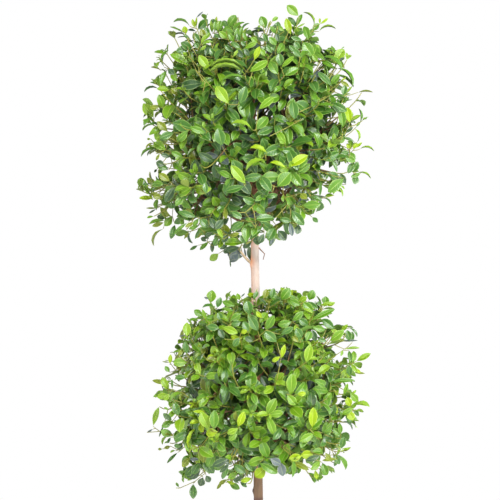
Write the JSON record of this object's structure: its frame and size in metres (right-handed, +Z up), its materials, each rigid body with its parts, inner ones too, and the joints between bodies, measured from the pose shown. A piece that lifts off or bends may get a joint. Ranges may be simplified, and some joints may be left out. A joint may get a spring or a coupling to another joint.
{
  "type": "double ball topiary shrub",
  "caption": "Garden standard clipped as a double ball: a slender bare trunk that runs up through a lower and an upper ball of small glossy evergreen leaves.",
  "frame": {"origin": "middle of the flat cut under the trunk, at ground level", "axes": "+Z up along the plant, -Y towards the viewer of the front, +X to that viewer's right"},
  "size_m": [0.4909, 0.4774, 1.3433],
  "materials": {
    "bark": "dry grey-brown bark",
    "twig_bark": "smooth young bark",
    "foliage": "glossy evergreen leaves"
  },
  "bodies": {
    "root": {"trunk": "bark", "low_bough": "twig_bark", "low_tuft": "foliage", "lower_ball": "foliage", "upper_ball": "foliage"}
  },
  "joints": []
}
